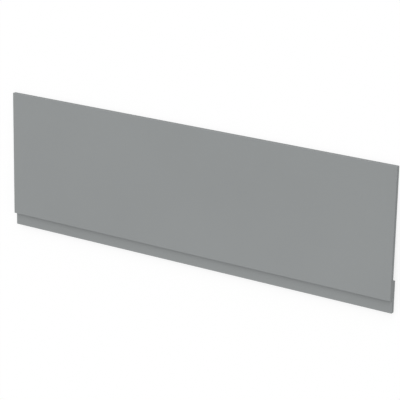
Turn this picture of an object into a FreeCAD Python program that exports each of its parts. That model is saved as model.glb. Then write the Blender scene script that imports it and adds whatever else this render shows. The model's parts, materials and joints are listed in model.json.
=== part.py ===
"""Bath front panel: a flat board with a plinth board screwed to its back, which shows below its lower edge.

Both boards are drawn in the panel's own axes. X runs along the panel from its middle, Y runs up it from its
lower edge, and Z comes out of its face, with Z = 0 where the panel's back meets the plinth's front. The whole
panel then lies face up on a level floor, on the plinth's upper back edge and its own top back edge.
"""

import os
from enum import IntEnum

import FreeCAD
import Part
import Sketcher

PARTS_FOLDER = "parts"
SAME_PLANE = 1e-6

# Driving dimensions in millimetres, apart from the number of screws and the countersink's angle in degrees.
# The plinth drops below the panel's lower edge and overlaps the panel's back above it. The pilot holes end at
# the face cover, the board that is left in front of them.
DIMENSIONS = {
    "panel_length": 1700,
    "panel_height": 495,
    "panel_thickness": 15,
    "plinth_drop": 50,
    "plinth_overlap": 70,
    "plinth_thickness": 15,
    "edge_radius": 1.5,
    "screw_count": 5,
    "screw_end_distance": 90,
    "screw_diameter": 4,
    "screw_head_diameter": 8,
    "screw_clearance": 0.5,
    "countersink_angle": 90,
    "pilot_diameter": 2.5,
    "pilot_face_cover": 5,
}

# How the panel lies: its slope, how far it reaches over the floor from its lower back edge, up to its top and
# down to its foot, and the height of that edge. The middle of its whole reach is over the origin.
LIE_SLOPE = "atan(Sizes.plinth_thickness / (Sizes.panel_height - Sizes.plinth_overlap))"
TOP_REACH = f"(Sizes.panel_height * cos({LIE_SLOPE}) + Sizes.panel_thickness * sin({LIE_SLOPE}))"
FOOT_REACH = f"(Sizes.plinth_drop * cos({LIE_SLOPE}) + Sizes.plinth_thickness * sin({LIE_SLOPE}))"
LOWER_EDGE_HEIGHT = f"Sizes.panel_height * sin({LIE_SLOPE})"
LYING = (
    f"placement(vector(0; ({FOOT_REACH} - {TOP_REACH}) / 2; {LOWER_EDGE_HEIGHT});"
    f" rotation(vector(1; 0; 0); -{LIE_SLOPE}))"
)


class Axis(IntEnum):
    """The numbers by which a sketch knows its own axes."""

    X = -1
    Y = -2


class Point(IntEnum):
    """The numbers by which a sketch knows a line's ends and a circle's centre."""

    START = 1
    END = 2
    CENTRE = 3


ORIGIN = (Axis.X, Point.START)


def add_sizes(doc):
    """The spreadsheet of driving dimensions, one named cell each."""
    sheet = doc.addObject("Spreadsheet::Sheet", "Sizes")
    for row, (name, value) in enumerate(DIMENSIONS.items(), start=1):
        sheet.set(f"A{row}", name)
        sheet.set(f"B{row}", str(value))
        sheet.setAlias(f"B{row}", name)
    doc.recompute()


def origin_feature(body, role):
    """One of the body's own origin planes or axes."""
    return next(feature for feature in body.Origin.OriginFeatures if feature.Role == role)


def add_sketch(body, name, plane_z="0"):
    """An empty sketch, parallel to the panel's face."""
    sketch = body.newObject("Sketcher::SketchObject", name)
    sketch.AttachmentSupport = [(origin_feature(body, "XY_Plane"), "")]
    sketch.MapMode = "FlatFace"
    sketch.setExpression("AttachmentOffset.Base.z", plane_z)
    return sketch


def set_distance(sketch, kind, geometry, size):
    """Ties a distance in the sketch to the sizes."""
    index = sketch.addConstraint(Sketcher.Constraint(kind, *geometry, 1.0))
    sketch.setExpression(f"Constraints[{index}]", size)


def draw_board(sketch, foot, top):
    """A rectangle of the panel's length, from foot below the panel's lower edge to top above that edge.

    It is drawn roughly, the right way round, and its constraints then bring it to size.
    """
    rough_corners = [FreeCAD.Vector(x, y, 0) for x, y in ((-2, -1), (2, -1), (2, 1), (-2, 1))]
    ends = zip(rough_corners, rough_corners[1:] + rough_corners[:1])
    lower, right, upper, left = sketch.addGeometry([Part.LineSegment(start, end) for start, end in ends])
    for line, next_line in ((lower, right), (right, upper), (upper, left), (left, lower)):
        sketch.addConstraint(Sketcher.Constraint("Coincident", line, Point.END, next_line, Point.START))
    sketch.addConstraint(Sketcher.Constraint("Symmetric", lower, Point.START, lower, Point.END, Axis.Y))
    sketch.addConstraint(Sketcher.Constraint("Horizontal", upper))
    sketch.addConstraint([Sketcher.Constraint("Vertical", line) for line in (right, left)])
    set_distance(sketch, "DistanceX", (lower, Point.START, lower, Point.END), "Sizes.panel_length")
    set_distance(sketch, "DistanceY", (lower, Point.START, *ORIGIN), foot)
    set_distance(sketch, "DistanceY", (*ORIGIN, upper, Point.START), top)


def edges_of_face(board):
    """The names of the edges that end on the board's face: the four round it, and the four at its corners."""
    face_z = board.BoundBox.ZMax
    return [
        f"Edge{number}"
        for number, edge in enumerate(board.Edges, start=1)
        if any(abs(vertex.Z - face_z) < SAME_PLANE for vertex in edge.Vertexes)
    ]


def add_board(doc, label, foot, top, thickness, behind_panel):
    """A board before or behind the plane where the boards meet, with its face edges and corners rounded."""
    body = doc.addObject("PartDesign::Body", label)
    body.Label = label
    outline = add_sketch(body, f"{label}_outline")
    draw_board(outline, foot, top)
    board = body.newObject("PartDesign::Pad", f"{label}_board")
    board.Profile = outline
    board.Reversed = behind_panel
    board.setExpression("Length", thickness)
    doc.recompute()
    rounding = body.newObject("PartDesign::Fillet", f"{label}_rounding")
    rounding.Base = (board, edges_of_face(board.Shape))
    rounding.setExpression("Radius", "Sizes.edge_radius")
    doc.recompute()
    return body


def add_screw_hole(doc, body, name, diameter, back_z="0"):
    """The first hole of the row of screws, halfway up the plinth's overlap, drilled from the board's back."""
    centre = add_sketch(body, f"{name}_centre", back_z)
    rough_circle = Part.Circle(FreeCAD.Vector(-2, 2, 0), FreeCAD.Vector(0, 0, 1), 1)
    circle = centre.addGeometry(rough_circle)
    from_middle = "Sizes.panel_length / 2 - Sizes.screw_end_distance"
    set_distance(centre, "Diameter", (circle,), diameter)
    set_distance(centre, "DistanceX", (circle, Point.CENTRE, *ORIGIN), from_middle)
    set_distance(centre, "DistanceY", (*ORIGIN, circle, Point.CENTRE), "Sizes.plinth_overlap / 2")
    doc.recompute()
    hole = body.newObject("PartDesign::Hole", name)
    hole.Profile = centre
    hole.Reversed = True
    hole.DrillPoint = "Flat"
    hole.setExpression("Diameter", diameter)
    return hole


def repeat_along_panel(doc, body, hole):
    """Repeats the first hole up to the same distance from the panel's other end."""
    row = body.newObject("PartDesign::LinearPattern", f"{hole.Label}_row")
    row.Originals = [hole]
    row.Direction = (origin_feature(body, "X_Axis"), [""])
    row.setExpression("Length", "Sizes.panel_length - 2 * Sizes.screw_end_distance")
    row.setExpression("Occurrences", "Sizes.screw_count")
    body.Tip = row
    doc.recompute()


def add_front_panel(doc):
    """The panel, with a blind pilot hole in its back for each of the plinth's screws."""
    foot, top = "0", "Sizes.panel_height"
    body = add_board(doc, "front_panel", foot, top, "Sizes.panel_thickness", behind_panel=False)
    pilot = add_screw_hole(doc, body, "pilot_hole", "Sizes.pilot_diameter")
    pilot.DepthType = "Dimension"
    pilot.setExpression("Depth", "Sizes.panel_thickness - Sizes.pilot_face_cover")
    repeat_along_panel(doc, body, pilot)
    return body


def add_plinth(doc):
    """The plinth, with a hole right through it for each screw, countersunk into its back."""
    foot, top = "Sizes.plinth_drop", "Sizes.plinth_overlap"
    body = add_board(doc, "plinth", foot, top, "Sizes.plinth_thickness", behind_panel=True)
    diameter = "Sizes.screw_diameter + Sizes.screw_clearance"
    hole = add_screw_hole(doc, body, "screw_hole", diameter, "-Sizes.plinth_thickness")
    hole.DepthType = "ThroughAll"
    hole.HoleCutType = "Countersink"
    hole.HoleCutCustomValues = True
    hole.setExpression("HoleCutDiameter", "Sizes.screw_head_diameter + Sizes.screw_clearance")
    hole.setExpression("HoleCutCountersinkAngle", "Sizes.countersink_angle")
    repeat_along_panel(doc, body, hole)
    return body


def check(doc, boards):
    """Stops if a feature failed, or a board isn't one valid solid."""
    failed = [item.Label for item in doc.Objects if {"Invalid", "Error"} & set(item.State)]
    if failed:
        raise RuntimeError(f"these features failed: {failed}")
    for body in boards:
        if body.Shape.isNull() or not body.Shape.isValid() or len(body.Shape.Solids) != 1:
            raise RuntimeError(f"{body.Label} isn't one valid solid")


def main():
    doc = FreeCAD.newDocument("bath_panel")
    add_sizes(doc)
    boards = [add_front_panel(doc), add_plinth(doc)]
    for body in boards:
        body.setExpression("Placement", LYING)
    doc.recompute()
    check(doc, boards)
    os.makedirs(PARTS_FOLDER, exist_ok=True)
    for body in boards:
        body.Shape.exportStep(os.path.join(PARTS_FOLDER, f"{body.Label}.step"))


main()
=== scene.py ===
"""A bath front panel lying face up: grey boards with white backs, and the screws that hold its plinth."""

import json
import math
from collections import namedtuple

import bmesh
import bpy
from mathutils import Matrix, Vector


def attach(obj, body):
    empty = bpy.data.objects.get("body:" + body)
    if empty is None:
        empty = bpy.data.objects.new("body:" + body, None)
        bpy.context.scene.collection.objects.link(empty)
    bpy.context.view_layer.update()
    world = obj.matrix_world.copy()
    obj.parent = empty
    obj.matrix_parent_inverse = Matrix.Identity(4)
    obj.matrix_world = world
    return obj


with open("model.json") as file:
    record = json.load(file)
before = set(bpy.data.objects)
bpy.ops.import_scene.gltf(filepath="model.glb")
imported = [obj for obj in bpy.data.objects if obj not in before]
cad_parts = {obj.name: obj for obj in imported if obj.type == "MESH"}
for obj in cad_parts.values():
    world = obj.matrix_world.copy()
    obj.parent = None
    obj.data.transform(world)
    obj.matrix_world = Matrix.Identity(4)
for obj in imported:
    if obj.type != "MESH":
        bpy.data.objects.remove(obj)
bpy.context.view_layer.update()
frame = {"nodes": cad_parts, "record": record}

# The panel's own axes in the row frame: along its length, up towards its top edge, and out of its face.
MOUNTS = {mount["name"]: mount for mount in frame["record"]["mounts"]}
UP = Vector(MOUNTS["top_edge"]["axis"]).normalized()
OUT = -Vector(MOUNTS["plinth_back"]["axis"]).normalized()
ALONG = UP.cross(OUT)


def places(node, axis):
    """Where a board's vertices lie along an axis, in metres."""
    return [vertex.co.dot(axis) for vertex in frame["nodes"][node].data.vertices]


PANEL_LEFT = min(places("front_panel", ALONG))
PANEL_RIGHT = max(places("front_panel", ALONG))
PANEL_FOOT = min(places("front_panel", UP))
PANEL_FACE = max(places("front_panel", OUT))
PLINTH_TOP = max(places("plinth", UP))
PLINTH_BACK = min(places("plinth", OUT))

# The row of screws, in metres: halfway up the plinth's overlap, from one end distance to the other. Their
# holes are countersunk into the plinth's back and go on as pilot holes in the panel.
SCREW_COUNT = 5
SCREW_END_DISTANCE = 0.090
SCREW_FIRST = PANEL_LEFT + SCREW_END_DISTANCE
SCREW_PITCH = (PANEL_RIGHT - PANEL_LEFT - 2 * SCREW_END_DISTANCE) / (SCREW_COUNT - 1)
SCREW_LINE = (PANEL_FOOT + PLINTH_TOP) / 2
COUNTERSINK_RADIUS = 0.00425
PILOT_RADIUS = 0.00125
PILOT_FACE_COVER = 0.005

# One screw, in metres, with its head's flat top at its origin. The head lies just below the board's surface,
# in the countersink. Both slope at 45 degrees, so a depth on them is a difference of radii. Each screw is
# driven to a turn of its own.
HEAD_RADIUS = 0.0040
HEAD_RIM = 0.0003
HEAD_BEVEL = 0.00012
HEAD_SINK = COUNTERSINK_RADIUS - HEAD_RADIUS
CORE_RADIUS = 0.0013
HEAD_FOOT = HEAD_RIM + HEAD_RADIUS - CORE_RADIUS
SCREW_LENGTH = PANEL_FACE - PILOT_FACE_COVER - PLINTH_BACK - HEAD_SINK
POINT_LENGTH = 0.0045
POINT_RADIUS = 0.00012
SCREW_SIDES = 32
SAME_POINT = 1e-6
SHARP_ANGLE = math.radians(30)
SCREW_TURN = math.radians(67)

# Its thread. The profile gives places along each turn, as shares of the pitch, and how far the thread stands
# out of the core there, as shares of its height.
THREAD_PITCH = 0.0018
THREAD_HEIGHT = 0.0007
THREAD_PROFILE = ((0.0, 0.0), (0.55, 0.0), (0.74, 1.0), (0.81, 1.0))

# The cross recess in its head: its arms, ribs in the corners between them, and a floor that is the same cross
# made smaller.
ARM_COUNT = 4
ARM_REACH = 0.0022
ARM_HALF_WIDTH = 0.00055
RIB_WIDTH = 0.0003
RIB_REACH = 0.0010
RECESS_DEPTH = 0.0021
RECESS_FLOOR_SCALE = 0.5

# A finish: its colour, how much that varies, the size in metres of its broad clouds and of its fine grain,
# its roughness from low to high, and the share of the full relief that its grain has.
Finish = namedtuple("Finish", "colour spread cloud grain roughness relief")
FOIL = Finish((0.290, 0.304, 0.306), 0.05, 0.45, 0.0012, (0.60, 0.80), 1.0)
BACKING = Finish((0.76, 0.755, 0.73), 0.03, 0.06, 0.0014, (0.48, 0.60), 0.5)
BARE_BOARD = Finish((0.40, 0.27, 0.155), 0.22, 0.004, 0.0005, (0.85, 0.95), 0.7)
ZINC = Finish((0.58, 0.59, 0.61), 0.08, 0.003, 0.0004, (0.24, 0.40), 0.06)

# In every finish: the full relief in metres, the range that most of the noise keeps to, the clouds' share of
# the colour, and how many finer layers of noise the clouds and the grain have.
FULL_RELIEF = 0.00008
NOISE_RANGE = (0.3, 0.7)
CLOUD_SHARE = 0.35
CLOUD_DETAIL = 3
GRAIN_DETAIL = 2

# A board's surface is on its face or its back where it faces straight out or back by this much.
FLAT_ON = 0.9

# The camera, seen from the panel's face: where it aims on the face, measured from the middle of the panel's
# lower edge, how it is turned, how far away it is, and its sensor and lens in millimetres.
CAMERA_AIM = Vector((0.0408, 0.2220))
CAMERA_YAW = math.radians(33.399)
CAMERA_PITCH = math.radians(-17.357)
CAMERA_ROLL = math.radians(1.122)
CAMERA_DISTANCE = 6.689
CAMERA_SENSOR = 36.0
CAMERA_LENS = 161.98

# Light, where 1 in all shows a colour about as it is written, and a backdrop of 1 is white. The key light
# comes from beyond the panel's top edge.
WHITE = (1.0, 1.0, 1.0, 1.0)
BACKDROP_LEVEL = 1.0
SKY_LEVEL = 0.56
KEY_LEVEL = 0.32
KEY_RISE = math.radians(47)
KEY_SWING = math.radians(-15)
KEY_SOFTNESS = math.radians(90)

# The floor. Its grey paint is mixed with a glow that only rays to the background see, which makes up for
# what the lit paint lacks to show as white.
FLOOR_SIZE = 40.0
FLOOR_DROP = 0.0002
FLOOR_LEVEL = 0.6
FLOOR_GREY = (FLOOR_LEVEL, FLOOR_LEVEL, FLOOR_LEVEL, 1.0)
GLOW_SHARE = 0.5
GLOW_LEVEL = (1 - (1 - GLOW_SHARE) * FLOOR_LEVEL * (SKY_LEVEL + KEY_LEVEL)) / GLOW_SHARE


def link(thing):
    """Puts an object into the scene."""
    bpy.context.scene.collection.objects.link(thing)
    return thing


def panel_axes():
    """The panel's own axes as a matrix, from the middle of the panel's lower edge, on its face."""
    axes = Matrix((ALONG, UP, OUT)).transposed()
    start = ALONG * (PANEL_LEFT + PANEL_RIGHT) / 2 + UP * PANEL_FOOT + OUT * PANEL_FACE
    return Matrix.Translation(start) @ axes.to_4x4()


def add_camera():
    """The photograph's camera. With no turn it would look straight at the face, with the top edge up."""
    data = bpy.data.cameras.new("camera")
    data.sensor_width = CAMERA_SENSOR
    data.lens = CAMERA_LENS
    data.clip_end = FLOOR_SIZE
    camera = link(bpy.data.objects.new("camera", data))
    turn = (
        Matrix.Rotation(CAMERA_YAW, 4, "Y")
        @ Matrix.Rotation(CAMERA_PITCH, 4, "X")
        @ Matrix.Rotation(CAMERA_ROLL, 4, "Z")
    )
    aim = Matrix.Translation(CAMERA_AIM.to_3d())
    camera.matrix_world = panel_axes() @ aim @ turn @ Matrix.Translation((0, 0, CAMERA_DISTANCE))
    bpy.context.scene.camera = camera


def add_node(tree, kind, inputs, **settings):
    """A node with its inputs set to values or linked to other nodes' outputs.

    An input goes by its name, or by its number among those that the node's settings leave in use.
    """
    node = tree.nodes.new(kind)
    for name, value in settings.items():
        setattr(node, name, value)
    numbered = [socket for socket in node.inputs if socket.enabled]
    for key, value in inputs.items():
        socket = node.inputs[key] if isinstance(key, str) else numbered[key]
        if isinstance(value, bpy.types.NodeSocket):
            tree.links.new(value, socket)
        else:
            socket.default_value = value
    return node


def calculate(tree, operation, *values):
    """The result of a sum, with numbers or other nodes' outputs as its values."""
    return add_node(tree, "ShaderNodeMath", dict(enumerate(values)), operation=operation).outputs[0]


def measure_along(tree, vector, axis):
    """How far a vector reaches along an axis."""
    node = add_node(tree, "ShaderNodeVectorMath", {0: vector, 1: axis}, operation="DOT_PRODUCT")
    return node.outputs["Value"]


def mix(tree, kind, share, low, high):
    """A blend of two numbers or two colours."""
    node = add_node(tree, "ShaderNodeMix", {0: share, 1: low, 2: high}, data_type=kind)
    return next(socket for socket in node.outputs if socket.enabled)


def speckle(tree, place, size, detail):
    """Noise from 0 to 1, with features of about this size in metres."""
    noise = add_node(tree, "ShaderNodeTexNoise", {"Vector": place, "Scale": 1 / size, "Detail": detail})
    lowest, highest = NOISE_RANGE
    spread = {"Value": noise.outputs["Fac"], "From Min": lowest, "From Max": highest}
    return add_node(tree, "ShaderNodeMapRange", spread).outputs["Result"]


def apply_finish(tree, place, finish):
    """The colour, roughness and height of a finish over the surface."""
    clouds = speckle(tree, place, finish.cloud, CLOUD_DETAIL)
    grain = speckle(tree, place, finish.grain, GRAIN_DETAIL)
    tone = mix(tree, "FLOAT", CLOUD_SHARE, grain, clouds)
    dark, light = (
        (*(part * level for part in finish.colour), 1.0) for level in (1 - finish.spread, 1 + finish.spread)
    )
    colour = mix(tree, "RGBA", tone, dark, light)
    roughness = mix(tree, "FLOAT", grain, *finish.roughness)
    height = calculate(tree, "MULTIPLY", grain, finish.relief)
    return colour, roughness, height


def mix_finishes(tree, share, low, high):
    """A blend of the colour, roughness and height of two finishes."""
    kinds = ("RGBA", "FLOAT", "FLOAT")
    return [mix(tree, kind, share, *pair) for kind, *pair in zip(kinds, low, high)]


def new_material(name):
    """An empty material and its tree."""
    material = bpy.data.materials.new(name)
    material.use_nodes = True
    material.node_tree.nodes.clear()
    return material, material.node_tree


def add_surface(tree, colour, roughness, height, **values):
    """The shader that shows a finish, with relief from its height."""
    relief = add_node(tree, "ShaderNodeBump", {"Height": height, "Distance": FULL_RELIEF})
    inputs = {"Base Color": colour, "Roughness": roughness, "Normal": relief.outputs["Normal"], **values}
    shader = add_node(tree, "ShaderNodeBsdfPrincipled", inputs)
    add_node(tree, "ShaderNodeOutputMaterial", {"Surface": shader.outputs["BSDF"]})


def near_screw(tree, place, radius):
    """1 within a radius of the line of the nearest screw.

    Folded to and fro at half the pitch, a place along the row becomes its distance from the nearest screw.
    """
    past_first = calculate(tree, "SUBTRACT", measure_along(tree, place, ALONG), SCREW_FIRST)
    beside = calculate(tree, "PINGPONG", past_first, SCREW_PITCH / 2)
    above = calculate(tree, "SUBTRACT", measure_along(tree, place, UP), SCREW_LINE)
    squared = calculate(tree, "MULTIPLY_ADD", beside, beside, calculate(tree, "MULTIPLY", above, above))
    return calculate(tree, "LESS_THAN", squared, radius ** 2)


def board_material(name, hole_radius):
    """Grey foil on the face and edges, a white backing on the back, and bare board in the holes."""
    material, tree = new_material(name)
    coordinates = add_node(tree, "ShaderNodeTexCoord", {}).outputs
    place = coordinates["Object"]
    facing = measure_along(tree, coordinates["Normal"], OUT)
    on_back = calculate(tree, "LESS_THAN", facing, -FLAT_ON)
    off_face = calculate(tree, "LESS_THAN", facing, FLAT_ON)
    in_hole = calculate(tree, "MULTIPLY", near_screw(tree, place, hole_radius), off_face)
    foil, backing, bare = (apply_finish(tree, place, finish) for finish in (FOIL, BACKING, BARE_BOARD))
    covered = mix_finishes(tree, on_back, foil, backing)
    add_surface(tree, *mix_finishes(tree, in_hole, covered, bare))
    return material


def zinc_material():
    """Bright zinc plating."""
    material, tree = new_material("zinc")
    place = add_node(tree, "ShaderNodeTexCoord", {}).outputs["Object"]
    add_surface(tree, *apply_finish(tree, place, ZINC), Metallic=1.0)
    return material


def finish_boards():
    """Gives each board its material, with the radius of the holes in its back."""
    for node, hole_radius in (("front_panel", PILOT_RADIUS), ("plinth", COUNTERSINK_RADIUS)):
        board = frame["nodes"][node].data
        board.materials.clear()
        board.materials.append(board_material(f"{node}_finish", hole_radius))


def add_point(build, depth, radius, side):
    """A vertex at one of the screw's sides, at a depth below the top of its head."""
    angle = math.tau * side / SCREW_SIDES
    return build.verts.new((radius * math.cos(angle), radius * math.sin(angle), -depth))


def add_ring(build, depth, radius):
    """A level ring of vertices round the screw."""
    return [add_point(build, depth, radius, side) for side in range(SCREW_SIDES)]


def pairs_round(ring):
    """Each vertex of a ring with the next one."""
    return list(zip(ring, ring[1:] + ring[:1]))


def join_rows(build, upper, lower):
    """Faces between two rows of as many vertices."""
    for (left, right), (left_below, right_below) in zip(zip(upper, upper[1:]), zip(lower, lower[1:])):
        build.faces.new((left, left_below, right_below, right))


def join_rings(build, upper, lower):
    """Faces between two rings of as many vertices."""
    join_rows(build, upper + upper[:1], lower + lower[:1])


def shank_radius(depth, height):
    """The shank's radius where the thread has a share of its height.

    The thread rises to its full height over one pitch below the head, and shrinks with the core to the point.
    """
    run_in = min(1, (depth - HEAD_FOOT) / THREAD_PITCH)
    taper = min(1, (SCREW_LENGTH - depth) / POINT_LENGTH)
    return POINT_RADIUS + (CORE_RADIUS - POINT_RADIUS + THREAD_HEIGHT * height * run_in) * taper


def add_winding(build, wound, height):
    """One turn of vertices down the thread, held between the head's foot and the point."""
    turn = []
    for side in range(SCREW_SIDES + 1):
        depth = HEAD_FOOT + (wound + side / SCREW_SIDES) * THREAD_PITCH
        depth = min(max(depth, HEAD_FOOT), SCREW_LENGTH)
        turn.append(add_point(build, depth, shank_radius(depth, height), side))
    return turn


def add_shank(build):
    """The threaded shank, from the head's foot to the point.

    Its windings start a turn above the foot and run past the point, and are held level at both.
    """
    last_turn = math.ceil((SCREW_LENGTH - HEAD_FOOT) / THREAD_PITCH)
    windings = [
        add_winding(build, turn + place, height)
        for turn in range(-1, last_turn + 1)
        for place, height in THREAD_PROFILE
    ]
    for upper, lower in zip(windings, windings[1:]):
        join_rows(build, upper, lower)
    build.faces.new(add_ring(build, SCREW_LENGTH, POINT_RADIUS))


def cross_outline(scale):
    """The outline of the cross recess: an arm and the rib beside it, turned round to all the arms."""
    corner = ARM_HALF_WIDTH + RIB_WIDTH
    quarter = [
        Vector((ARM_REACH, -ARM_HALF_WIDTH)),
        Vector((ARM_REACH, ARM_HALF_WIDTH)),
        Vector((corner, ARM_HALF_WIDTH)),
        Vector((RIB_REACH, RIB_REACH)),
        Vector((ARM_HALF_WIDTH, corner)),
    ]
    turns = [Matrix.Rotation(math.tau * arm / ARM_COUNT, 2) for arm in range(ARM_COUNT)]
    return [turn @ point * scale for turn in turns for point in quarter]


def add_recess(build, rim):
    """The flat top of the head inside its rim, with the cross recess sunk into it."""
    mouth = [build.verts.new((*point, 0)) for point in cross_outline(1)]
    floor = [build.verts.new((*point, -RECESS_DEPTH)) for point in cross_outline(RECESS_FLOOR_SCALE)]
    join_rings(build, mouth, floor)
    build.faces.new(floor)
    edges = [build.edges.get(pair) for pair in pairs_round(rim) + pairs_round(mouth)]
    bmesh.ops.triangle_fill(build, use_beauty=True, edges=edges)


def add_head(build):
    """The countersunk head, down to its foot."""
    profile = [
        (0, HEAD_RADIUS - HEAD_BEVEL),
        (HEAD_BEVEL, HEAD_RADIUS),
        (HEAD_RIM, HEAD_RADIUS),
        (HEAD_FOOT, CORE_RADIUS),
    ]
    rings = [add_ring(build, depth, radius) for depth, radius in profile]
    for upper, lower in zip(rings, rings[1:]):
        join_rings(build, upper, lower)
    add_recess(build, rings[0])


def screw_mesh():
    """A countersunk wood screw, its head's flat top at the origin and its point down."""
    build = bmesh.new()
    add_head(build)
    add_shank(build)
    bmesh.ops.remove_doubles(build, verts=build.verts, dist=SAME_POINT)
    bmesh.ops.recalc_face_normals(build, faces=build.faces)
    mesh = bpy.data.meshes.new("plinth_screw")
    build.to_mesh(mesh)
    build.free()
    mesh.shade_smooth()
    mesh.set_sharp_from_angle(angle=SHARP_ANGLE)
    return mesh


def add_screws():
    """A row of screws in the plinth's back, their points towards the panel's face."""
    mesh = screw_mesh()
    mesh.materials.append(zinc_material())
    turned_over = Matrix((ALONG, -UP, -OUT)).transposed().to_4x4()
    for number in range(SCREW_COUNT):
        screw = link(bpy.data.objects.new(f"plinth_screw_{number + 1}", mesh))
        along = SCREW_FIRST + SCREW_PITCH * number
        place = ALONG * along + UP * SCREW_LINE + OUT * (PLINTH_BACK + HEAD_SINK)
        driven = Matrix.Rotation(SCREW_TURN * number, 4, "Z")
        screw.matrix_world = Matrix.Translation(place) @ turned_over @ driven
        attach(screw, "root")


def background_rays(tree):
    """1 for the rays that show a background: those of the camera, of reflections and of clear things."""
    path = add_node(tree, "ShaderNodeLightPath", {}).outputs
    seen = calculate(tree, "MAXIMUM", path["Is Camera Ray"], path["Is Glossy Ray"])
    return calculate(tree, "MAXIMUM", seen, path["Is Transmission Ray"])


def mix_shaders(tree, share, low, high):
    """A blend of two shaders."""
    return add_node(tree, "ShaderNodeMixShader", {0: share, 1: low, 2: high}).outputs["Shader"]


def add_sky():
    """Even soft light from all round, with a white background in front of it."""
    world = bpy.data.worlds.new("studio")
    world.use_nodes = True
    tree = world.node_tree
    tree.nodes.clear()
    light, backdrop = (
        add_node(tree, "ShaderNodeBackground", {"Color": WHITE, "Strength": level}).outputs["Background"]
        for level in (SKY_LEVEL, BACKDROP_LEVEL)
    )
    shown = mix_shaders(tree, background_rays(tree), light, backdrop)
    add_node(tree, "ShaderNodeOutputWorld", {"Surface": shown})
    bpy.context.scene.world = world


def add_key_light():
    """A very soft light, whose level is what falls on the floor."""
    data = bpy.data.lights.new("key", "SUN")
    data.energy = KEY_LEVEL * math.pi / math.sin(KEY_RISE)
    data.angle = KEY_SOFTNESS
    key = link(bpy.data.objects.new("key", data))
    key.rotation_euler = (KEY_RISE - math.pi / 2, 0, KEY_SWING)


def floor_material():
    """Paint that takes a shadow, mixed with the glow."""
    material, tree = new_material("floor")
    paint = add_node(tree, "ShaderNodeBsdfDiffuse", {"Color": FLOOR_GREY}).outputs["BSDF"]
    glow = add_node(tree, "ShaderNodeEmission", {"Color": WHITE, "Strength": GLOW_LEVEL}).outputs["Emission"]
    share = calculate(tree, "MULTIPLY", background_rays(tree), GLOW_SHARE)
    add_node(tree, "ShaderNodeOutputMaterial", {"Surface": mix_shaders(tree, share, paint, glow)})
    return material


def add_floor():
    """A wide floor just below the part."""
    mesh = bpy.data.meshes.new("floor")
    build = bmesh.new()
    bmesh.ops.create_grid(build, x_segments=1, y_segments=1, size=FLOOR_SIZE / 2)
    build.to_mesh(mesh)
    build.free()
    mesh.materials.append(floor_material())
    floor = link(bpy.data.objects.new("floor", mesh))
    floor.location.z = -FLOOR_DROP


add_camera()
add_sky()
add_key_light()
add_floor()
finish_boards()
add_screws()
bpy.context.scene.view_settings.view_transform = "Standard"
